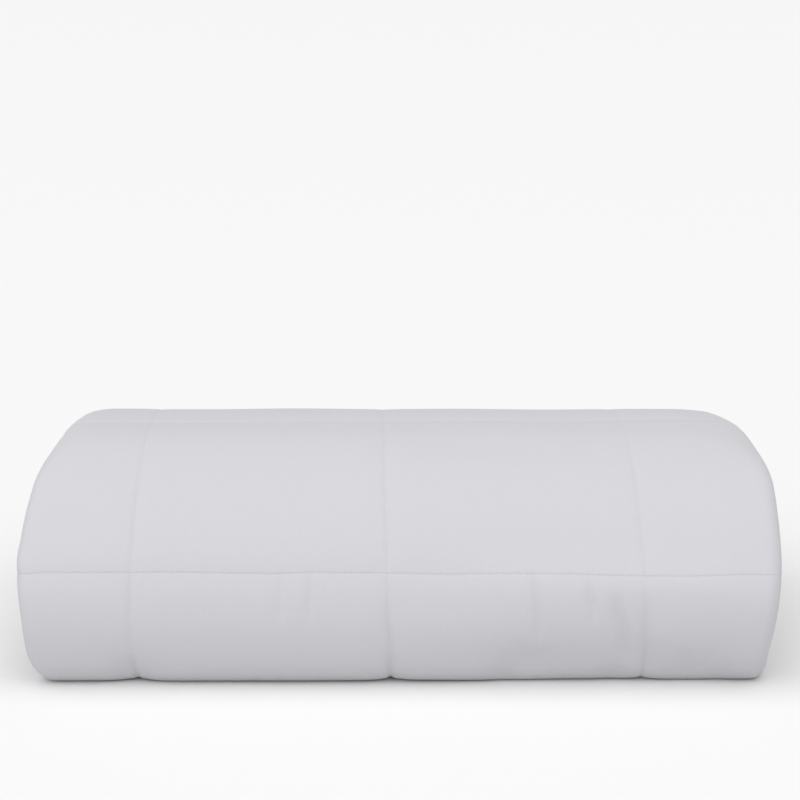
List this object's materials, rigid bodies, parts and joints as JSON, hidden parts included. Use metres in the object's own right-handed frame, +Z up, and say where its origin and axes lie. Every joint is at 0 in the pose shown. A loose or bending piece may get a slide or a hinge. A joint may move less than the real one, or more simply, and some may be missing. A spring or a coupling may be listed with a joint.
{
  "type": "bedspread",
  "caption": "Quilted bedspread in pale lavender grey, folded into a soft bundle with a round front.",
  "frame": {"origin": "middle of the rectangle that the bundle covers on the surface it lies on", "axes": "+X along the bundle, +Y to its back where the layers show, +Z up"},
  "size_m": [0.91, 0.4416, 0.256],
  "materials": {
    "quilted_cloth": "matte"
  },
  "bodies": {
    "root": {"bedspread": "quilted_cloth"}
  },
  "joints": []
}
